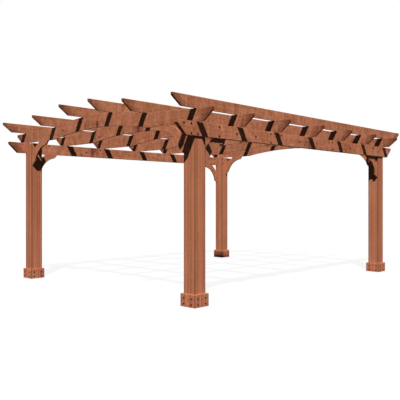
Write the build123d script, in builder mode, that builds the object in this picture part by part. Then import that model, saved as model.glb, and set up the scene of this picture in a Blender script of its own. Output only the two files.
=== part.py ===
from build123d import *
import os
from math import sqrt

# Open garden pergola of sawn redwood: four square posts with boxed feet, two long beams
# let into the posts' outer faces, seven arched cross rafters, six purlins stepped over
# the crown, and eight curved knee braces.
# Millimetres. X runs along the beams, Y along the rafters, Z is up from the ground.
# "Front" is -Y, "left" is -X. The origin is on the ground under the middle of the roof.

# Posts and their feet
post_size = 209.0
post_spacing_x = 5175.0
post_spacing_y = 4078.0
post_edge = 5.0
post_clearance = 12.0
trim_height = 172.0
trim_thickness = 29.0
trim_edge = 4.0

# Beams, let into the outer faces of the posts
beam_thickness = 64.0
beam_housing = 45.0
beam_depth = 187.0
beam_underside = 2264.0
beam_overhang_left = 441.0
beam_overhang_right = 405.0
board_edge = 3.0

# Rafters, resting on the beams; the shares run from the left end rafter to the right one
rafter_thickness = 25.0
rafter_outset_left = 84.0
rafter_outset_right = 43.0
rafter_shares = [0.0, 0.1579, 0.3237, 0.5011, 0.6718, 0.8369, 1.0]
rafter_overhang = 423.0
rafter_tail_depth = 167.0
rafter_shoulder_depth = 209.0
rafter_edge = 2.0
arch_share = 0.2977
arch_rise = 105.0

# Purlins, seated in the tops of the rafters; the shares are of the post spacing along Y
purlin_thickness = 34.0
purlin_depth = 157.0
purlin_seating = 2.0
purlin_overhang_left = 539.0
purlin_overhang_right = 752.0
purlin_shares = [0.0937, 0.2879, 0.5287]

# Every board end: a short plumb cut, then a raking cut back to the lower edge
tail_plumb = 35.0
tail_rake = 165.0

# Knee braces: butted to the post and to the underside of the board they carry
brace_thickness = 30.0
brace_drop = 415.0
brace_edge = 2.0
along_reach = 433.0
along_foot_run = 76.0
along_foot_rise = 52.0
along_toe = 68.0
along_belly_run = 165.0
along_belly_drop = 172.0
along_heel_run = 178.0
along_heel_drop = 170.0
across_inset = 3.0
across_reach = 514.0
across_foot_run = 92.0
across_foot_rise = 75.0
across_toe = 64.0
across_belly_run = 173.0
across_belly_drop = 200.0
across_heel_run = 234.0
across_heel_drop = 163.0

# What follows from the driving dimensions
beam_top = beam_underside + beam_depth
post_height = beam_top - post_clearance
half_post = post_size / 2
purlin_length = purlin_overhang_left + post_spacing_x + purlin_overhang_right
left_x = -purlin_length / 2 + purlin_overhang_left
right_x = left_x + post_spacing_x
front_y = -post_spacing_y / 2
back_y = post_spacing_y / 2
rafter_half = post_spacing_y / 2 + rafter_overhang
rafter_first_x = left_x - rafter_outset_left
rafter_span = post_spacing_x + rafter_outset_left + rafter_outset_right
rafter_x = [rafter_first_x + share * rafter_span for share in rafter_shares]
arch_half_span = arch_share * post_spacing_y
arch_radius = (arch_half_span**2 + arch_rise**2) / (2 * arch_rise)
purlin_y = [share * post_spacing_y for share in purlin_shares]
purlin_y = [-y for y in reversed(purlin_y)] + purlin_y

corners = {
    "front_left": (left_x, front_y, 1, 1),
    "front_right": (right_x, front_y, -1, 1),
    "back_left": (left_x, back_y, 1, -1),
    "back_right": (right_x, back_y, -1, -1),
}


def crown_height(y):
    """Top of a rafter at this distance from the middle of the roof."""
    reach = abs(y)
    shoulder = beam_top + rafter_shoulder_depth
    if reach < arch_half_span:
        centre = shoulder + arch_rise - arch_radius
        return centre + sqrt(arch_radius**2 - reach**2)
    fall = (rafter_shoulder_depth - rafter_tail_depth) / (rafter_half - arch_half_span)
    return shoulder - fall * (reach - arch_half_span)


def seat_height(y):
    """Level seat for a purlin, a little under the lower side of its footprint."""
    half = purlin_thickness / 2
    return min(crown_height(y - half), crown_height(y + half)) - purlin_seating


def save(piece, name):
    piece.part.label = name
    export_step(piece.part, "parts/" + name + ".step")


def make_post(name, x, y):
    """A post whose outer face is housed to take the beam."""
    outward = 1 if y > 0 else -1
    housing_depth = post_height - beam_underside
    with BuildPart() as post:
        with BuildSketch(Plane.XY):
            with Locations((x, y)):
                Rectangle(post_size, post_size)
        extrude(amount=post_height)
        chamfer(post.edges().filter_by(Axis.Z), post_edge)
        housing_y = y + outward * (half_post - beam_housing / 2)
        with Locations((x, housing_y, beam_underside + housing_depth / 2)):
            Box(post_size, beam_housing, housing_depth, mode=Mode.SUBTRACT)
    save(post, "post_" + name)


def make_base_trim(name, x, y):
    """Four mitred boards that box the foot of one post."""
    half = half_post + trim_thickness
    for side, turn in (("front", 0), ("right", 90), ("back", 180), ("left", 270)):
        plane = Plane(origin=(x, y, 0)).rotated((0, 0, turn))
        with BuildPart() as board:
            with BuildSketch(plane):
                with BuildLine():
                    Polyline(
                        (-half_post, -half_post),
                        (-half, -half),
                        (half, -half),
                        (half_post, -half_post),
                        close=True,
                    )
                make_face()
            extrude(amount=trim_height)
            outer_top = board.faces().sort_by(Axis.Z)[-1].edges().sort_by(SortBy.LENGTH)[-1]
            chamfer(outer_top, trim_edge)
        save(board, "base_trim_" + name + "_" + side)


def tail_outline(start, end, bottom, top):
    """Corners of a straight board with both tails cut."""
    return [
        (start, top),
        (start, top - tail_plumb),
        (start + tail_rake, bottom),
        (end - tail_rake, bottom),
        (end, top - tail_plumb),
        (end, top),
    ]


def make_beam(name, face_y):
    """Long beam whose inner face is on face_y, set outwards."""
    outward = 1 if face_y > 0 else -1
    with BuildPart() as beam:
        with BuildSketch(Plane.XZ.offset(-face_y)):
            with BuildLine():
                Polyline(
                    *tail_outline(
                        left_x - beam_overhang_left,
                        right_x + beam_overhang_right,
                        beam_underside,
                        beam_top,
                    ),
                    close=True,
                )
            make_face()
        extrude(amount=-outward * beam_thickness)
        chamfer(beam.edges().filter_by(Axis.X), board_edge)
    save(beam, name)


def make_rafter(index, x):
    """A rafter centred on this place along the beams."""
    shoulder = beam_top + rafter_shoulder_depth
    tail_top = beam_top + rafter_tail_depth
    plumb_foot = tail_top - tail_plumb
    lower_end = rafter_half - tail_rake
    with BuildPart() as rafter:
        with BuildSketch(Plane.YZ.offset(x - rafter_thickness / 2)):
            with BuildLine():
                Polyline(
                    (-arch_half_span, shoulder),
                    (-rafter_half, tail_top),
                    (-rafter_half, plumb_foot),
                    (-lower_end, beam_top),
                    (-arch_half_span, beam_top),
                )
                ThreePointArc(
                    (-arch_half_span, beam_top),
                    (0, beam_top + arch_rise),
                    (arch_half_span, beam_top),
                )
                Polyline(
                    (arch_half_span, beam_top),
                    (lower_end, beam_top),
                    (rafter_half, plumb_foot),
                    (rafter_half, tail_top),
                    (arch_half_span, shoulder),
                )
                ThreePointArc(
                    (arch_half_span, shoulder),
                    (0, shoulder + arch_rise),
                    (-arch_half_span, shoulder),
                )
            make_face()
        extrude(amount=rafter_thickness)
        outline = rafter.faces().filter_by(Axis.X).edges()
        chamfer(outline, rafter_edge)
        for y in purlin_y:
            seat = seat_height(y)
            with Locations((x, y, seat + purlin_depth / 2)):
                Box(rafter_thickness, purlin_thickness, purlin_depth, mode=Mode.SUBTRACT)
    save(rafter, "rafter_" + str(index))


def make_purlin(index, y):
    bottom = seat_height(y)
    with BuildPart() as purlin:
        with BuildSketch(Plane.XZ.offset(-y)):
            with BuildLine():
                Polyline(
                    *tail_outline(
                        -purlin_length / 2, purlin_length / 2, bottom, bottom + purlin_depth
                    ),
                    close=True,
                )
            make_face()
        extrude(amount=purlin_thickness / 2, both=True)
        top = purlin.faces().sort_by(Axis.Z)[-1]
        chamfer(top.edges().filter_by(Axis.X), board_edge)
    save(purlin, "purlin_" + str(index))


def make_brace(
    name,
    plane,
    reach,
    foot_run,
    foot_rise,
    toe,
    belly_run,
    belly_drop,
    heel_run,
    heel_drop,
):
    """One brace; the plane's origin is on the post's face, level with the carried board's
    lower edge, with its first axis pointing away from the post."""
    with BuildPart() as brace:
        with BuildSketch(plane):
            with BuildLine():
                Polyline(
                    (foot_run, foot_rise - brace_drop),
                    (0, -brace_drop),
                    (0, -heel_drop),
                    (heel_run, 0),
                    (reach, 0),
                    (reach - toe, -toe),
                )
                ThreePointArc(
                    (reach - toe, -toe),
                    (belly_run, -belly_drop),
                    (foot_run, foot_rise - brace_drop),
                )
            make_face()
        extrude(amount=brace_thickness / 2, both=True)
        flat_sides = brace.faces().sort_by(SortBy.AREA)[-2:]
        curved_edges = flat_sides.edges().filter_by(GeomType.CIRCLE)
        chamfer(curved_edges, brace_edge)
    save(brace, name)


def brace_along(name, x, y, inward_x, inward_y):
    """Brace from a post to its long beam, flush with the beam's inner face."""
    origin = (
        x + inward_x * half_post,
        y - inward_y * (half_post - beam_housing + brace_thickness / 2),
        beam_underside,
    )
    plane = Plane(origin=origin, x_dir=(inward_x, 0, 0), z_dir=(0, -inward_x, 0))
    make_brace(
        "brace_" + name + "_along",
        plane,
        along_reach,
        along_foot_run,
        along_foot_rise,
        along_toe,
        along_belly_run,
        along_belly_drop,
        along_heel_run,
        along_heel_drop,
    )


def brace_across(name, rafter_middle_x, y, inward_x, inward_y):
    """Brace from a post to the end rafter above it."""
    origin = (rafter_middle_x + inward_x * across_inset, y + inward_y * half_post, beam_top)
    plane = Plane(origin=origin, x_dir=(0, inward_y, 0), z_dir=(inward_y, 0, 0))
    make_brace(
        "brace_" + name + "_across",
        plane,
        across_reach,
        across_foot_run,
        across_foot_rise,
        across_toe,
        across_belly_run,
        across_belly_drop,
        across_heel_run,
        across_heel_drop,
    )


os.makedirs("parts", exist_ok=True)

for corner, (x, y, inward_x, inward_y) in corners.items():
    make_post(corner, x, y)
    make_base_trim(corner, x, y)
    end_rafter_x = rafter_x[0] if inward_x > 0 else rafter_x[-1]
    brace_along(corner, x, y, inward_x, inward_y)
    brace_across(corner, end_rafter_x, y, inward_x, inward_y)

make_beam("beam_front", front_y - half_post + beam_housing)
make_beam("beam_back", back_y + half_post - beam_housing)

for number, x in enumerate(rafter_x, start=1):
    make_rafter(number, x)

for number, y in enumerate(purlin_y, start=1):
    make_purlin(number, y)
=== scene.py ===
import bpy
import bmesh
from math import pi, radians
from mathutils import Matrix, Vector


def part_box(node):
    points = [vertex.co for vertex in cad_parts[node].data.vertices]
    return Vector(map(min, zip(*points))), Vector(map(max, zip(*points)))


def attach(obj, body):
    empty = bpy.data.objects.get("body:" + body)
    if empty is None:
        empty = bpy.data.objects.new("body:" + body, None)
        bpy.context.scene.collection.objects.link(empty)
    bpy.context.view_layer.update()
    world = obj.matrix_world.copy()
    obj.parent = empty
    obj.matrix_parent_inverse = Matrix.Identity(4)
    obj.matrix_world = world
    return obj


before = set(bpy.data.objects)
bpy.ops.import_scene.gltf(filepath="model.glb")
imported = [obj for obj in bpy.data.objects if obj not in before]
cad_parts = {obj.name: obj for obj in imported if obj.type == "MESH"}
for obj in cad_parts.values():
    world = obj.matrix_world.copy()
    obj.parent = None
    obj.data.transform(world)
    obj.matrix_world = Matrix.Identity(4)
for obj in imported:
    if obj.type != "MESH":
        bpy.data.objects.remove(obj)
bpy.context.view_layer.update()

# Wooden pergola of redwood-stained timber, in metres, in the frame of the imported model:
# X along the beams, Y along the rafters, Z up from the ground.
# The camera, the light and the floor come first, then the timber, then the steel fasteners.

# Camera, solved from the picture's two vanishing points, with its horizon as a pixel row
PICTURE_SIZE = 400
FOCAL_PIXELS = 579.25
HORIZON_ROW = 198.67
CAMERA_PLACE = (-8.2727, -7.4360, 1.4372)
CAMERA_TURN = 0.7595
SENSOR_WIDTH = 36.0
CLIP_END = 200.0

# Light: a hard key sun from the front left, a broad soft lamp behind, and a weak cool fill
SUN_TRAVEL = (0.592, 0.5285, -1.0)
SUN_STRENGTH = 6.08
SUN_SIZE = radians(2.0)
BACK_TRAVEL = (-0.60, -0.62, -0.35)
BACK_STRENGTH = 1.9
BACK_SIZE = radians(60)
LAMP_DISTANCE = 6.0
FILL_TINT = (0.80, 1.0, 1.15, 1.0)
FILL_STRENGTH = 0.050
WHITE = (1.0, 1.0, 1.0, 1.0)

# The post that the roof's long shadow misses, the boards whose shadow it is, and the boards
# that are left out of bounced light
FAR_POST = "post_back_right"
FAR_CLEAR = ("rafter_4", "rafter_5", "rafter_6", "purlin_3", "purlin_4", "purlin_5")
ROOF_BOARDS = ("beam", "rafter", "purlin")

# Floor: a near white glow, a pale coat that keeps the shadow, and a dim face for bounced light
FLOOR_REACH = 60.0
FLOOR_GLOW = 0.90
FLOOR_PALE = (0.058, 0.058, 0.058, 1.0)
FLOOR_BOUNCE = (0.018, 0.018, 0.018, 1.0)

# Stain colours, from the darkest growth line to the palest wood, and what lies over them
STAIN_DEEP = (0.155, 0.044, 0.020, 1.0)
STAIN_WARM = (0.292, 0.098, 0.047, 1.0)
STAIN_BODY = (0.388, 0.139, 0.069, 1.0)
STAIN_PALE = (0.525, 0.214, 0.120, 1.0)
ROSE_TINT = (1.03, 0.90, 1.20, 1.0)
AMBER_TINT = (0.99, 1.00, 0.84, 1.0)
SOAKED_BROWN = (0.115, 0.028, 0.013, 1.0)
SEAM_BROWN = (0.070, 0.020, 0.011, 1.0)
KNOT_BROWN = (0.085, 0.028, 0.015, 1.0)
END_GRAIN = (0.200, 0.062, 0.032, 1.0)
WARM_TONE = 0.30
BODY_TONE = 0.58

# How each kind of timber is figured. stretch and across are the streaks' density per metre
# along and across the board; streak, line, blotch, curl, grit, fibre and hue are weights;
# knots is their rarity, soak the darkening of the tails, arris that of the long corners, cut
# that of end grain; pale lifts the whole board, and the side lift is painted light that
# brightens its front and back faces to even them with the sunlit sides.
POST_FIGURE = {"stretch": 0.05, "across": 46, "streak": 1.365, "line": 0.24, "blotch": 0.405,
               "curl": 0.0, "grit": 0.35, "fibre": 0.35, "hue": 0.60, "knots": 0.95,
               "soak": 0.0, "arris": 0.55, "cut": 0.35, "pale": 1.10, "painted_side_light": 1.10}
BOARD_FIGURE = {"stretch": 0.9, "across": 24, "streak": 0.546, "line": 0.0, "blotch": 0.45,
                "curl": 1.25, "grit": 0.80, "fibre": 0.40, "hue": 0.50, "knots": 0.80,
                "soak": 0.95, "arris": 0.0, "cut": 0.35, "pale": 1.0, "painted_side_light": 1.0}
TRIM_FIGURE = {"stretch": 1.5, "across": 38, "streak": 1.625, "line": 0.0, "blotch": 0.81,
               "curl": 0.0, "grit": 1.00, "fibre": 0.45, "hue": 1.0, "knots": 0.95,
               "soak": 0.0, "arris": 0.45, "cut": 0.0, "pale": 1.13, "painted_side_light": 1.03}
FIGURES = {
    "post": POST_FIGURE,
    "base_trim": TRIM_FIGURE,
    "brace": dict(BOARD_FIGURE, blotch=0.225, curl=0.60, soak=0.0, pale=1.07),
    "rafter": dict(BOARD_FIGURE, pale=0.97),
    # Purlins and beams are set paler partly for their own tone and partly as painted light,
    # since their front faces take less of the sun than the rafters' sides
    "purlin": dict(BOARD_FIGURE, pale=1.10, soak=0.80),
    "beam_front": dict(BOARD_FIGURE, pale=1.14, soak=0.20),
    "beam_back": dict(BOARD_FIGURE, pale=1.12),
}

# Each layer of the figure: its density per metre along and across the fibres, where it
# starts, and the noise values at which a line or a hue sets in. The cut of a board moves on
# by a step from one board to the next.
NOISE_MIDDLE = 0.5
FIBRE_DENSITY = (6, 330, 330)
BLOTCH_DENSITY = (1.3, 6, 6)
CURL_DENSITY = (6.5, 2.8, 2.8)
CURL_WARP = 1.8
GRIT_DENSITY = (27, 36, 36)
LINE_DENSITY = 24
LINE_START = (2.3, 0.9, 4.1)
LINE_CORE = 0.012
LINE_EDGE = 0.040
HUE_DENSITY = 20
HUE_START = (3.1, 1.7, 5.3)
AMBER_BAND = (0.30, 0.50)
ROSE_BAND = (0.50, 0.70)
CUT_START = (0.0, 0.31, 0.22)
CUT_STEP = (1.37, 0.173, -0.119)

# Knots, in cells along the board
KNOT_DENSITY = (3.2, 7.5, 7.5)
KNOT_FADE = 0.02
KNOT_CORE = (0.05, 0.10)
KNOT_RING = (0.06, 0.24)
KNOT_RING_WEIGHT = 0.45
KNOT_DIP = 0.4

# Which faces count as front and back, for the painted light on them, and which as end grain:
# how squarely they must look
PAINTED_LIGHT_FACING = (0.4, 0.6)
CUT_FACING = (0.5, 0.6)

# Run and rise of the fibres in the knee braces
ALONG_BRACE_GRAIN = (0.68, 0.73)
ACROSS_BRACE_GRAIN = (0.78, 0.62)

# Surface of the stained timber
SHEEN_TONES = (0.2, 0.9)
ROUGH_WHERE_DARK = 0.80
ROUGH_WHERE_PALE = 0.66
TIMBER_SPECULAR = 0.08
TIMBER_RELIEF = 0.35
TIMBER_RELIEF_DEPTH = 0.0012

# Tails: how the ends are cut, how far stain soaks in, and how much of the cut it follows
END_CUT_PLUMB = 0.035
END_CUT_RAKE = 0.165
RAFTER_TAIL_DEPTH = 0.167
SOAK_REACH = 0.24
SOAK_FOLLOWS_CUT = 0.6
SOAK_RAGGED = 0.12

# Butt joints in the beams: place along the board, and the side that has soaked dark
BEAM_JOINTS = {"beam_back": (-1.377, 1), "beam_front": (-0.075, -1)}
JOINT_SOAK_REACH = 0.20
JOINT_SOAK_WEIGHT = 0.70
JOINT_EDGE = 0.002
SEAM_CORE = 0.006
SEAM_EDGE = 0.030
SEAM_WEIGHT = 0.60

# Crown joints in the rafters: height of the mark above the rafter's lowest edge, its fade
# there, and its pale and dark parts either side of the middle
CROWN_HEIGHT = 0.194
CROWN_FADE = 0.012
CROWN_SOAK_REACH = 0.16
CROWN_SOAK_WEIGHT = 0.45
CROWN_DARK_CORE = 0.026
CROWN_DARK_EDGE = 0.036
CROWN_DARK_WEIGHT = 0.80

# Long corners of posts and feet: how far in the dark begins, and where it is full
ARRIS_BEGIN = 0.022
ARRIS_FULL = 0.009

# Blackened steel of the fasteners: patches per metre, and the noise values between which
# they wear brown and roughen
STEEL_BLACK = (0.012, 0.008, 0.006, 1.0)
STEEL_BROWN = (0.040, 0.020, 0.012, 1.0)
STEEL_METALLIC = 0.3
STEEL_SPECULAR = 0.15
STEEL_PATCHES = 180.0
STEEL_WORN = (0.45, 0.7)
STEEL_ROUGHENED = (0.3, 0.7)
STEEL_ROUGHNESS = (0.45, 0.7)
STEEL_RELIEF = 0.3
STEEL_RELIEF_DEPTH = 0.0003

# Turned steel heads, as (radius, height above the timber)
BOLT_PROFILE = (
    (0.0, 0.0052), (0.0046, 0.0052), (0.0048, 0.0082), (0.0074, 0.0077), (0.0098, 0.0055),
    (0.0106, 0.0032), (0.0106, 0.0020), (0.0150, 0.0020), (0.0158, 0.0013), (0.0158, -0.0005),
    (0.0, -0.0005),
)
SCREW_PROFILE = (
    (0.0, 0.0014), (0.0042, 0.0014), (0.0044, 0.0042), (0.0088, 0.0038), (0.0122, 0.0022),
    (0.0134, 0.0004), (0.0134, -0.0005), (0.0, -0.0005),
)
BOLT_END_PROFILE = (
    (0.0, 0.0050), (0.0048, 0.0050), (0.0068, 0.0034), (0.0088, 0.0014), (0.0088, -0.0005),
    (0.0, -0.0005),
)
HEAD_STEPS = 14
HEAD_CREASE = radians(40)
MERGE_DISTANCE = 1e-6

# Bolts through the beams: place along X, and height above the beam's underside
BOLT_LOW = 0.027
BOLT_MIDDLE = 0.091
BOLT_HIGH = 0.153
BEAM_BOLTS = (
    (-3.019, BOLT_HIGH), (-2.881, BOLT_HIGH), (-2.881, BOLT_LOW), (-2.759, BOLT_LOW),
    (-2.333, BOLT_HIGH), (-2.333, BOLT_LOW), (-1.958, BOLT_MIDDLE), (-1.523, BOLT_MIDDLE),
    (-1.155, BOLT_HIGH), (-1.155, BOLT_LOW), (-0.897, BOLT_HIGH), (-0.389, BOLT_MIDDLE),
    (0.133, BOLT_MIDDLE), (0.631, BOLT_HIGH), (0.631, BOLT_LOW), (1.258, BOLT_MIDDLE),
    (2.125, BOLT_HIGH), (2.352, BOLT_MIDDLE), (2.416, BOLT_HIGH),
)
TURNED_BOLT = (-1.523, BOLT_MIDDLE)
TURNED_BOLT_SHIFT = 0.026
BOLT_ROOM = 0.012

# Bolts in the posts' inner faces, from the post's edge and above the beam's underside, and
# screws in the boxed feet, from the middle of each side and above the ground
CORNERS = ("front_left", "front_right", "back_left", "back_right")
POST_BOLT_INSET = 0.036
POST_BOLT_HEIGHTS = (0.042, 0.150)
TRIM_SCREW_SPREAD = 0.074
TRIM_SCREW_LOW = 0.040
TRIM_SCREW_HIGH = 0.116

# Directions along the frame
ALONG_BEAMS = Vector((1, 0, 0))
ALONG_RAFTERS = Vector((0, 1, 0))
UPRIGHT = Vector((0, 0, 1))

# A Mix node's sockets for colours: the factor and two colours in, and the result out
MIX_INPUTS = (0, 6, 7)
MIX_RESULT = 2


def place_camera():
    data = bpy.data.cameras.new("photo_camera")
    data.sensor_width = SENSOR_WIDTH
    data.lens = SENSOR_WIDTH * FOCAL_PIXELS / PICTURE_SIZE
    data.shift_y = (HORIZON_ROW - PICTURE_SIZE / 2) / PICTURE_SIZE
    data.clip_end = CLIP_END
    camera = bpy.data.objects.new("photo_camera", data)
    camera.location = CAMERA_PLACE
    camera.rotation_euler = (pi / 2, 0.0, CAMERA_TURN - pi / 2)
    bpy.context.scene.collection.objects.link(camera)
    bpy.context.scene.camera = camera


def place_lamp(name, travel, strength, size):
    data = bpy.data.lights.new(name, "SUN")
    data.energy = strength
    data.angle = size
    lamp = bpy.data.objects.new(name, data)
    lamp.rotation_euler = Vector(travel).to_track_quat("-Z", "Y").to_euler()
    lamp.location = -LAMP_DISTANCE * Vector(travel)
    bpy.context.scene.collection.objects.link(lamp)
    return lamp


def linked_set(name, nodes, state):
    """A set of boards that a lamp's light or shadow includes or excludes."""
    group = bpy.data.collections.new(name)
    for node in nodes:
        group.objects.link(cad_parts[node])
    for member in group.collection_objects:
        member.light_linking.link_state = state
    return group


def place_key():
    """The key sun, and its twin for the far post, which the roof's long shadow misses."""
    key = place_lamp("key_sun", SUN_TRAVEL, SUN_STRENGTH, SUN_SIZE)
    key.light_linking.receiver_collection = linked_set("key_leaves", [FAR_POST], "EXCLUDE")
    twin = place_lamp("far_sun", SUN_TRAVEL, SUN_STRENGTH, SUN_SIZE)
    twin.light_linking.receiver_collection = linked_set("far_lit", [FAR_POST], "INCLUDE")
    twin.light_linking.blocker_collection = linked_set("far_clear", FAR_CLEAR, "EXCLUDE")


def still_roof_bounce():
    """The roof's boards are left out of bounced light, which would redden the shadows under
    them, so that those stay as dark as the picture's."""
    for name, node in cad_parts.items():
        if name.startswith(ROOF_BOARDS):
            node.visible_diffuse = False


def empty_tree(owner):
    owner.use_nodes = True
    owner.node_tree.nodes.clear()
    return owner.node_tree


def shader_node(tree, kind, **settings):
    node = tree.nodes.new(kind)
    for socket, value in settings.items():
        node.inputs[socket].default_value = value
    return node


def feed(tree, socket, value):
    """Set a socket to a number or colour, or link it to another node's output."""
    if isinstance(value, (int, float, tuple)):
        socket.default_value = value
    else:
        tree.links.new(value, socket)


def maths(tree, operation, *values):
    node = tree.nodes.new("ShaderNodeMath")
    node.operation = operation
    for socket, value in zip(node.inputs, values):
        feed(tree, socket, value)
    return node.outputs[0]


def seen_directly(tree):
    """1 where the camera, a reflection or a see-through ray meets the surface, else 0."""
    path = tree.nodes.new("ShaderNodeLightPath").outputs
    mirrored = maths(tree, "MAXIMUM", path["Is Glossy Ray"], path["Is Transmission Ray"])
    return maths(tree, "MAXIMUM", path["Is Camera Ray"], mirrored)


def show_and_bounce(tree, out, shown, bounced):
    """One shader for what is seen directly, and another for the light that is thrown back."""
    mix = tree.nodes.new("ShaderNodeMixShader")
    tree.links.new(seen_directly(tree), mix.inputs["Fac"])
    tree.links.new(bounced.outputs[0], mix.inputs[1])
    tree.links.new(shown.outputs[0], mix.inputs[2])
    tree.links.new(mix.outputs[0], out.inputs["Surface"])


def make_world():
    world = bpy.data.worlds.new("white_studio")
    tree = empty_tree(world)
    out = tree.nodes.new("ShaderNodeOutputWorld")
    white = shader_node(tree, "ShaderNodeBackground", Color=WHITE, Strength=1.0)
    fill = shader_node(tree, "ShaderNodeBackground", Color=FILL_TINT, Strength=FILL_STRENGTH)
    show_and_bounce(tree, out, white, fill)
    bpy.context.scene.world = world


def make_floor():
    mesh = bmesh.new()
    bmesh.ops.create_grid(mesh, x_segments=1, y_segments=1, size=FLOOR_REACH)
    floor = finish_piece("studio_floor", mesh)
    material = bpy.data.materials.new("pale_floor")
    tree = empty_tree(material)
    out = tree.nodes.new("ShaderNodeOutputMaterial")
    glow = shader_node(tree, "ShaderNodeEmission", Strength=FLOOR_GLOW)
    pale = shader_node(tree, "ShaderNodeBsdfDiffuse", Color=FLOOR_PALE)
    both = tree.nodes.new("ShaderNodeAddShader")
    tree.links.new(glow.outputs[0], both.inputs[0])
    tree.links.new(pale.outputs[0], both.inputs[1])
    bounce = shader_node(tree, "ShaderNodeBsdfDiffuse", Color=FLOOR_BOUNCE)
    show_and_bounce(tree, out, both, bounce)
    floor.data.materials.append(material)


def finish_piece(name, mesh):
    """An object at the origin from a bmesh that is already in place."""
    data = bpy.data.meshes.new(name)
    mesh.to_mesh(data)
    mesh.free()
    piece = bpy.data.objects.new(name, data)
    bpy.context.scene.collection.objects.link(piece)
    return piece


def mapping(tree, vector, place=(0, 0, 0), turn=(0, 0, 0), size=(1, 1, 1)):
    node = shader_node(tree, "ShaderNodeMapping", Location=place, Rotation=turn, Scale=size)
    tree.links.new(vector, node.inputs["Vector"])
    return node.outputs["Vector"]


def noise(tree, vector, scale=1.0, detail=2.0, roughness=0.6, warp=0.0):
    node = shader_node(tree, "ShaderNodeTexNoise", Scale=scale, Detail=detail)
    node.inputs["Roughness"].default_value = roughness
    node.inputs["Distortion"].default_value = warp
    tree.links.new(vector, node.inputs["Vector"])
    return node.outputs["Fac"]


def spread(tree, value, low, high, new_low=0.0, new_high=1.0, smooth=False):
    """Map one range of a value to another, clamped."""
    node = tree.nodes.new("ShaderNodeMapRange")
    if smooth:
        node.interpolation_type = "SMOOTHSTEP"
    tree.links.new(value, node.inputs["Value"])
    node.inputs["From Min"].default_value = low
    node.inputs["From Max"].default_value = high
    node.inputs["To Min"].default_value = new_low
    node.inputs["To Max"].default_value = new_high
    return node.outputs["Result"]


def near(tree, value, place, core, edge):
    """1 within core of a place, fading to 0 at edge."""
    offset = maths(tree, "ABSOLUTE", maths(tree, "SUBTRACT", value, place))
    return spread(tree, offset, core, edge, 1.0, 0.0, smooth=True)


def blend_colour(tree, share, first, second, kind="MIX"):
    node = tree.nodes.new("ShaderNodeMix")
    node.data_type = "RGBA"
    node.blend_type = kind
    for number, value in zip(MIX_INPUTS, (share, first, second)):
        feed(tree, node.inputs[number], value)
    return node.outputs[MIX_RESULT]


def separate(tree, vector):
    node = tree.nodes.new("ShaderNodeSeparateXYZ")
    tree.links.new(vector, node.inputs[0])
    return node.outputs


def true_normal(tree):
    return tree.nodes.new("ShaderNodeNewGeometry").outputs["True Normal"]


def raise_relief(tree, shader, height, strength, depth):
    bump = shader_node(tree, "ShaderNodeBump", Strength=strength, Distance=depth)
    tree.links.new(height, bump.inputs["Height"])
    tree.links.new(bump.outputs["Normal"], shader.inputs["Normal"])


def stain_ramp(tree, tone):
    node = tree.nodes.new("ShaderNodeValToRGB")
    ramp = node.color_ramp
    ramp.elements[0].position = 0.0
    ramp.elements[0].color = STAIN_DEEP
    ramp.elements[1].position = 1.0
    ramp.elements[1].color = STAIN_PALE
    ramp.elements.new(WARM_TONE).color = STAIN_WARM
    ramp.elements.new(BODY_TONE).color = STAIN_BODY
    tree.links.new(tone, node.inputs["Fac"])
    return node.outputs["Color"]


def timber_tone(tree, board, figure):
    """Light and dark of the wood: growth streaks, fine fibres, blotches, curl and specks."""
    stretch = figure["stretch"]
    across = figure["across"]
    streaks = noise(tree, mapping(tree, board, size=(stretch, across, across)), detail=3.0)
    fibres = noise(tree, mapping(tree, board, size=FIBRE_DENSITY))
    broad = noise(tree, mapping(tree, board, size=BLOTCH_DENSITY), roughness=0.5)
    grit = noise(tree, mapping(tree, board, size=GRIT_DENSITY))
    layers = [(streaks, "streak"), (fibres, "fibre"), (broad, "blotch"), (grit, "grit")]
    if figure["curl"]:
        bands = mapping(tree, board, size=CURL_DENSITY)
        curl = noise(tree, bands, detail=3.0, roughness=0.55, warp=CURL_WARP)
        layers.append((curl, "curl"))
    tone = BODY_TONE
    for layer, weight in layers:
        centred = maths(tree, "SUBTRACT", layer, NOISE_MIDDLE)
        tone = maths(tree, "ADD", maths(tree, "MULTIPLY", centred, figure[weight]), tone)
    if figure["line"]:
        size = (stretch, LINE_DENSITY, LINE_DENSITY)
        veins = noise(tree, mapping(tree, board, LINE_START, size=size))
        dark = near(tree, veins, NOISE_MIDDLE, LINE_CORE, LINE_EDGE)
        tone = maths(tree, "SUBTRACT", tone, maths(tree, "MULTIPLY", dark, figure["line"]))
    return tone, streaks, fibres


def tint_streaks(tree, colour, board, figure):
    """Rosy and amber streaks side by side."""
    size = (figure["stretch"], HUE_DENSITY, HUE_DENSITY)
    veins = noise(tree, mapping(tree, board, HUE_START, size=size), roughness=0.55)
    rosy = spread(tree, veins, *ROSE_BAND, 0.0, figure["hue"])
    amber = spread(tree, veins, *AMBER_BAND, figure["hue"], 0.0)
    colour = blend_colour(tree, rosy, colour, ROSE_TINT, "MULTIPLY")
    return blend_colour(tree, amber, colour, AMBER_TINT, "MULTIPLY")


def add_knots(tree, colour, board, rarity):
    """Small knots, far apart along the board, each in a ring of darker wood."""
    cells = shader_node(tree, "ShaderNodeTexVoronoi", Scale=1.0, Randomness=1.0)
    tree.links.new(mapping(tree, board, size=KNOT_DENSITY), cells.inputs["Vector"])
    rare = spread(tree, cells.outputs["Color"], rarity, rarity + KNOT_FADE)
    distance = cells.outputs["Distance"]
    core = spread(tree, distance, *KNOT_CORE, 1.0, 0.0, smooth=True)
    ring = spread(tree, distance, *KNOT_RING, KNOT_RING_WEIGHT, 0.0, smooth=True)
    knot = maths(tree, "MULTIPLY", core, rare)
    colour = blend_colour(tree, maths(tree, "MULTIPLY", ring, rare), colour, STAIN_DEEP)
    return blend_colour(tree, knot, colour, KNOT_BROWN), knot


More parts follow.
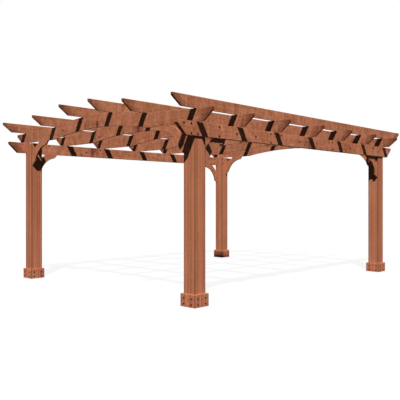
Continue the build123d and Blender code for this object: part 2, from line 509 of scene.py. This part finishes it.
def lift_pale_and_paint_side_light(tree, colour, pale, painted_side_light):
    """Boards that took the stain paler, with their front and back faces lifted further as
    painted light that evens them with the X-facing sides, which take more of the sun.
    """
    facing = maths(tree, "ABSOLUTE", separate(tree, true_normal(tree))["Y"])
    pale_and_painted_light = spread(tree, facing, *PAINTED_LIGHT_FACING, pale, pale * painted_side_light)
    grey = tree.nodes.new("ShaderNodeCombineXYZ")
    for socket in grey.inputs:
        tree.links.new(pale_and_painted_light, socket)
    return blend_colour(tree, 1.0, colour, grey.outputs[0], "MULTIPLY")


def soak_ends(tree, colour, xyz, grain, box, weight, ragged):
    """Stain that soaks deeper towards the raking cuts at a board's ends."""
    low, high = box
    axis, number = ("X", 0) if grain == ALONG_BEAMS else ("Y", 1)
    top = high[2] if grain == ALONG_BEAMS else low[2] + RAFTER_TAIL_DEPTH
    furthest = SOAK_FOLLOWS_CUT * END_CUT_RAKE
    setback = spread(tree, xyz["Z"], top - END_CUT_PLUMB, low[2], 0.0, furthest)
    from_low = maths(tree, "SUBTRACT", xyz[axis], low[number])
    from_high = maths(tree, "SUBTRACT", high[number], xyz[axis])
    inside = maths(tree, "SUBTRACT", maths(tree, "MINIMUM", from_low, from_high), setback)
    inside = maths(tree, "ADD", inside, ragged)
    soaked = spread(tree, inside, 0.0, SOAK_REACH, weight, 0.0)
    return blend_colour(tree, soaked, colour, SOAKED_BROWN)


def butt_joint(tree, colour, along, joint, ragged):
    """A butt joint across a beam: a fine dark seam, soaked on one side."""
    place, side = joint
    offset = maths(tree, "MULTIPLY", maths(tree, "SUBTRACT", along, place), side)
    depth = maths(tree, "ADD", offset, ragged)
    soaked = spread(tree, depth, 0.0, JOINT_SOAK_REACH, JOINT_SOAK_WEIGHT, 0.0)
    soaked = maths(tree, "MULTIPLY", soaked, spread(tree, offset, -JOINT_EDGE, JOINT_EDGE))
    colour = blend_colour(tree, soaked, colour, SOAKED_BROWN)
    seam = maths(tree, "MULTIPLY", near(tree, along, place, SEAM_CORE, SEAM_EDGE), SEAM_WEIGHT)
    return blend_colour(tree, seam, colour, SEAM_BROWN)


def crown_joint(tree, colour, xyz, bottom, ragged):
    """The joint in the lower half of a rafter at its crown."""
    top = bottom + CROWN_HEIGHT
    lower = spread(tree, xyz["Z"], top, top + CROWN_FADE, 1.0, 0.0)
    across = maths(tree, "ADD", maths(tree, "ABSOLUTE", xyz["Y"]), ragged)
    soaked = spread(tree, across, 0.0, CROWN_SOAK_REACH, CROWN_SOAK_WEIGHT, 0.0)
    dark = spread(tree, across, CROWN_DARK_CORE, CROWN_DARK_EDGE, CROWN_DARK_WEIGHT, 0.0)
    for mark in (soaked, dark):
        colour = blend_colour(tree, maths(tree, "MULTIPLY", mark, lower), colour, SOAKED_BROWN)
    return colour


def darken_arrises(tree, colour, xyz, box, weight):
    """The long corners of a post or a boxed foot, where the stain gathers."""
    low, high = box
    reach = []
    for number, axis in enumerate("XY"):
        middle = (low[number] + high[number]) / 2
        half = (high[number] - low[number]) / 2
        offset = maths(tree, "ABSOLUTE", maths(tree, "SUBTRACT", xyz[axis], middle))
        reach.append(maths(tree, "SUBTRACT", offset, half))
    corner = maths(tree, "MINIMUM", reach[0], reach[1])
    gathered = spread(tree, corner, -ARRIS_BEGIN, -ARRIS_FULL, 0.0, weight)
    return blend_colour(tree, gathered, colour, SEAM_BROWN)


def show_end_grain(tree, colour, grain, weight):
    """Darker end grain on the faces that look along the fibres."""
    facing = tree.nodes.new("ShaderNodeVectorMath")
    facing.operation = "DOT_PRODUCT"
    tree.links.new(true_normal(tree), facing.inputs[0])
    facing.inputs[1].default_value = tuple(grain)
    cut = spread(tree, maths(tree, "ABSOLUTE", facing.outputs["Value"]), *CUT_FACING)
    return blend_colour(tree, maths(tree, "MULTIPLY", cut, weight), colour, END_GRAIN)


def timber(name, grain, box, shift, figure, joint=None):
    """Redwood-stained timber. grain is the direction of the fibres, box the board's two outer
    corners, shift moves the figure from board to board, joint is a butt joint in a beam."""
    material = bpy.data.materials.new(name)
    material.use_nodes = True
    tree = material.node_tree
    shader = tree.nodes["Principled BSDF"]
    place = tree.nodes.new("ShaderNodeTexCoord").outputs["Object"]
    turn = grain.rotation_difference(ALONG_BEAMS).to_euler()
    board = mapping(tree, mapping(tree, place, turn=turn), place=shift)

    tone, streaks, fibres = timber_tone(tree, board, figure)
    colour = tint_streaks(tree, stain_ramp(tree, tone), board, figure)
    colour, knot = add_knots(tree, colour, board, figure["knots"])
    # pale is the board's own tone; the extra lift of its front and back faces is painted light
    colour = lift_pale_and_paint_side_light(tree, colour, figure["pale"], figure["painted_side_light"])

    xyz = separate(tree, place)
    unevenness = maths(tree, "SUBTRACT", tone, BODY_TONE)
    ragged = maths(tree, "MULTIPLY", unevenness, SOAK_RAGGED)
    if figure["soak"]:
        colour = soak_ends(tree, colour, xyz, grain, box, figure["soak"], ragged)
    if joint:
        colour = butt_joint(tree, colour, xyz["X"], joint, ragged)
    if grain == ALONG_RAFTERS:
        colour = crown_joint(tree, colour, xyz, box[0][2], ragged)
    if figure["arris"]:
        colour = darken_arrises(tree, colour, xyz, box, figure["arris"])
    colour = show_end_grain(tree, colour, grain, figure["cut"])
    tree.links.new(colour, shader.inputs["Base Color"])

    sheen = spread(tree, tone, *SHEEN_TONES, ROUGH_WHERE_DARK, ROUGH_WHERE_PALE)
    tree.links.new(sheen, shader.inputs["Roughness"])
    shader.inputs["Specular IOR Level"].default_value = TIMBER_SPECULAR
    grown = maths(tree, "MULTIPLY", maths(tree, "ADD", fibres, streaks), 0.5)
    relief = maths(tree, "SUBTRACT", grown, maths(tree, "MULTIPLY", knot, KNOT_DIP))
    raise_relief(tree, shader, relief, TIMBER_RELIEF, TIMBER_RELIEF_DEPTH)
    return material


def grain_of(node):
    """Direction of the fibres in a board of this name."""
    if node.startswith(("post", "base_trim")):
        return UPRIGHT
    if node.startswith(("beam", "purlin")):
        return ALONG_BEAMS
    if node.startswith("rafter"):
        return ALONG_RAFTERS
    inward_x = 1 if "left" in node else -1
    inward_y = 1 if "front" in node else -1
    if node.endswith("along"):
        run, rise = ALONG_BRACE_GRAIN
        return Vector((run * inward_x, 0, rise)).normalized()
    run, rise = ACROSS_BRACE_GRAIN
    return Vector((0, run * inward_y, rise)).normalized()


def figure_of(node):
    return next(figure for start, figure in FIGURES.items() if node.startswith(start))


def outline_of(node):
    """Outer corners of a board, or of the whole boxed foot that a trim board belongs to."""
    if not node.startswith("base_trim"):
        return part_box(node)
    foot = node.rsplit("_", 1)[0]
    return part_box(foot + "_left")[0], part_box(foot + "_right")[1]


def finish_timber():
    """Every board and post gets its own cut of the same stained timber."""
    for number, node in enumerate(sorted(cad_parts)):
        shift = [start + step * number for start, step in zip(CUT_START, CUT_STEP)]
        box = outline_of(node)
        joint = BEAM_JOINTS.get(node)
        material = timber("timber_" + node, grain_of(node), box, shift, figure_of(node), joint)
        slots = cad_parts[node].data.materials
        slots.clear()
        slots.append(material)


def black_steel():
    material = bpy.data.materials.new("black_steel")
    material.use_nodes = True
    tree = material.node_tree
    shader = tree.nodes["Principled BSDF"]
    shader.inputs["Metallic"].default_value = STEEL_METALLIC
    shader.inputs["Specular IOR Level"].default_value = STEEL_SPECULAR
    place = tree.nodes.new("ShaderNodeTexCoord").outputs["Object"]
    patches = noise(tree, place, scale=STEEL_PATCHES, detail=3.0)
    worn = spread(tree, patches, *STEEL_WORN)
    colour = blend_colour(tree, worn, STEEL_BLACK, STEEL_BROWN)
    tree.links.new(colour, shader.inputs["Base Color"])
    roughness = spread(tree, patches, *STEEL_ROUGHENED, *STEEL_ROUGHNESS)
    tree.links.new(roughness, shader.inputs["Roughness"])
    raise_relief(tree, shader, patches, STEEL_RELIEF, STEEL_RELIEF_DEPTH)
    return material


def turned_head(profile):
    """One closed steel head on the origin, looking up, spun from its profile."""
    head = bmesh.new()
    points = [head.verts.new((radius, 0, height)) for radius, height in profile]
    lines = [head.edges.new(pair) for pair in zip(points, points[1:])]
    bmesh.ops.spin(
        head,
        geom=points + lines,
        cent=(0, 0, 0),
        axis=UPRIGHT,
        angle=2 * pi,
        steps=HEAD_STEPS,
        use_merge=True,
    )
    bmesh.ops.remove_doubles(head, verts=head.verts, dist=MERGE_DISTANCE)
    bmesh.ops.recalc_face_normals(head, faces=head.faces)
    mesh = bpy.data.meshes.new("turned_head")
    head.to_mesh(mesh)
    head.free()
    return mesh


def set_heads(name, head, spots, steel):
    """Heads set on the timber; each spot is a place and the way out of the surface."""
    group = bmesh.new()
    for place, outward in spots:
        first = len(group.verts)
        group.from_mesh(head)
        group.verts.ensure_lookup_table()
        turn = UPRIGHT.rotation_difference(Vector(outward)).to_matrix().to_4x4()
        matrix = Matrix.Translation(place) @ turn
        bmesh.ops.transform(group, matrix=matrix, verts=group.verts[first:])
    for face in group.faces:
        face.smooth = True
    piece = finish_piece(name, group)
    piece.data.set_sharp_from_angle(angle=HEAD_CREASE)
    piece.data.materials.append(steel)
    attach(piece, "root")


def clear_of_posts(x):
    """Whether a bolt here comes out on the beam's inner face, and not inside a post."""
    for side in ("left", "right"):
        low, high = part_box("post_front_" + side)
        if low[0] - BOLT_ROOM < x < high[0] + BOLT_ROOM:
            return False
    return True


def fit_bolts(head, end, steel):
    """Heads on the beams' outer faces and plain ends on the inner ones. One bolt of the back
    beam is turned round, with its head inside, and sits a little further along."""
    for side, outward in (("front", -1), ("back", 1)):
        low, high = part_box("beam_" + side)
        outer_y, inner_y = (low[1], high[1]) if outward < 0 else (high[1], low[1])
        heads = []
        ends = []
        for x, height in BEAM_BOLTS:
            turned = side == "back" and (x, height) == TURNED_BOLT
            if turned:
                x += TURNED_BOLT_SHIFT
            z = low[2] + height
            outer = ((x, outer_y, z), (0, outward, 0))
            inner = ((x, inner_y, z), (0, -outward, 0))
            heads.append(inner if turned else outer)
            if clear_of_posts(x):
                ends.append(outer if turned else inner)
        set_heads("bolts_beam_" + side, head, heads, steel)
        set_heads("bolt_ends_beam_" + side, end, ends, steel)


def fit_post_bolts(head, steel):
    """Bolt heads on the posts' inner faces, level with the beams."""
    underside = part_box("beam_front")[0][2]
    for corner in CORNERS:
        low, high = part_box("post_" + corner)
        x = high[0] - POST_BOLT_INSET if "left" in corner else low[0] + POST_BOLT_INSET
        inward = 1 if "front" in corner else -1
        face_y = high[1] if inward > 0 else low[1]
        spots = [((x, face_y, underside + z), (0, inward, 0)) for z in POST_BOLT_HEIGHTS]
        set_heads("bolts_post_" + corner, head, spots, steel)


def fit_trim_screws(head, steel):
    """Four screw heads on each side of every boxed foot."""
    for corner in CORNERS:
        low, high = outline_of("base_trim_" + corner + "_left")
        middle_x = (low[0] + high[0]) / 2
        middle_y = (low[1] + high[1]) / 2
        half = (high[0] - low[0]) / 2
        spots = []
        for along in (-TRIM_SCREW_SPREAD, TRIM_SCREW_SPREAD):
            for height in (TRIM_SCREW_LOW, TRIM_SCREW_HIGH):
                for side in (-1, 1):
                    x_face = (middle_x + side * half, middle_y + along, height)
                    y_face = (middle_x + along, middle_y + side * half, height)
                    spots.append((x_face, (side, 0, 0)))
                    spots.append((y_face, (0, side, 0)))
        set_heads("screws_base_trim_" + corner, head, spots, steel)


bpy.context.scene.view_settings.view_transform = "Standard"
place_camera()
place_key()
place_lamp("back_lamp", BACK_TRAVEL, BACK_STRENGTH, BACK_SIZE)
still_roof_bounce()
make_world()
make_floor()
finish_timber()
steel = black_steel()
bolt_head = turned_head(BOLT_PROFILE)
fit_bolts(bolt_head, turned_head(BOLT_END_PROFILE), steel)
fit_post_bolts(bolt_head, steel)
fit_trim_screws(turned_head(SCREW_PROFILE), steel)
